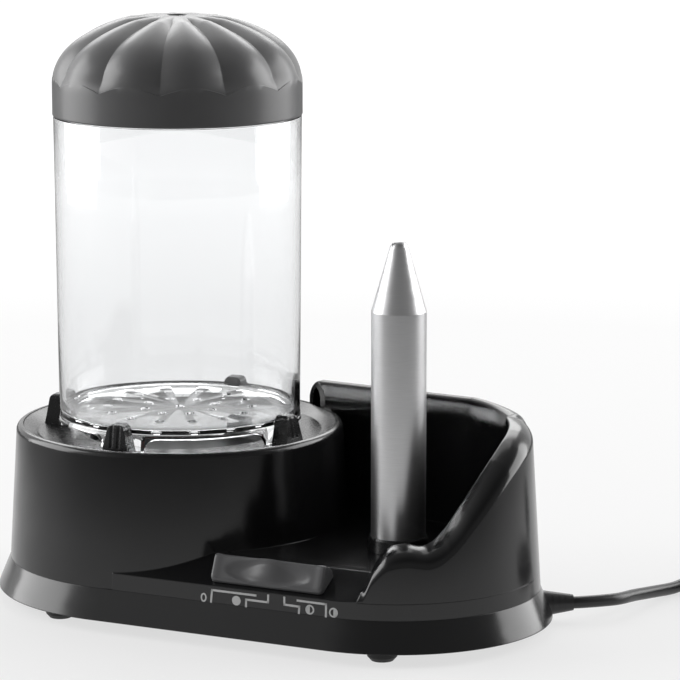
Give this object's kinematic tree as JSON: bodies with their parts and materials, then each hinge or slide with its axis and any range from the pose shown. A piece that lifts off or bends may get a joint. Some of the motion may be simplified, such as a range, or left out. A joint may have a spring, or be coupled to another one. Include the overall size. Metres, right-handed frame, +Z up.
{
  "type": "hot dog steamer",
  "caption": "Table-top steamer: clear lidded tube on a heated drum, with a heated steel spike in a walled tray beside it and a sliding switch on the sloped front.",
  "frame": {"origin": "middle of the footprint at table height, the free cord and its plug left out", "axes": "+Z up, the switch side faces -Y, the drum stands towards -X and the spike towards +X"},
  "size_m": [0.4014, 0.3351, 0.2889],
  "materials": {
    "gloss_black": "glossy moulded black with soft edges",
    "deck_black": "satin moulded black",
    "lid_grey": "satin grey moulded plastic",
    "clear_tube": "clear moulded tube, lightly tinted at the edges",
    "dish_coating": "dark non-stick coating on pressed metal",
    "seal_rubber": "dull silicone",
    "heater_steel": "dull grey heater sheath",
    "thermostat_ceramic": "unglazed cream ceramic",
    "zinc_steel": "bright zinc",
    "brushed_spike": "steel brushed round the spike",
    "knob_grey": "dark grey satin plastic",
    "contact_brass": "bright brass",
    "inner_plastic": "plain dark moulding",
    "terminal_plastic": "off-white moulding",
    "foot_rubber": "dull black rubber",
    "cord_rubber": "satin black sheath",
    "pin_brass": "nickelled brass pins"
  },
  "bodies": {
    "base": {"base_pan": "gloss_black", "upper_housing": "gloss_black", "tray_guard": "gloss_black", "deck_ring": "deck_black", "heating_pan": "dish_coating", "pan_seal": "seal_rubber", "heating_element": "heater_steel", "thermostat": "thermostat_ceramic", "thermal_fuse": "zinc_steel", "pan_clips": "zinc_steel", "clip_screws": "zinc_steel", "spike": "brushed_spike", "spike_collar": "gloss_black", "spike_heater": "heater_steel", "spike_flange": "heater_steel", "spike_screws": "zinc_steel", "switch_body": "inner_plastic", "switch_screws": "zinc_steel", "terminal_block": "terminal_plastic", "cord_clamp": "inner_plastic", "clamp_screws": "zinc_steel", "base_screws": "zinc_steel", "feet": "foot_rubber", "strain_relief": "cord_rubber", "power_cord": "cord_rubber", "cord_coil": "cord_rubber", "coil_tie": "cord_rubber", "plug_body": "cord_rubber", "plug_pins": "pin_brass"},
    "tube": {"steam_tube": "clear_tube"},
    "lid": {"lid": "lid_grey"},
    "switch": {"switch_knob": "knob_grey", "switch_carriage": "contact_brass"}
  },
  "joints": [
    {"name": "tube_lift", "type": "slide", "parent": "base", "child": "tube", "axis": [0, 0, 1], "range_m": [0, 0.13]},
    {"name": "lid_lift", "type": "slide", "parent": "tube", "child": "lid", "axis": [0, 0, 1], "range_m": [0, 0.08]},
    {"name": "switch_slide", "type": "slide", "parent": "base", "child": "switch", "axis": [1, 0, 0], "range_m": [0, 0.0135]}
  ]
}
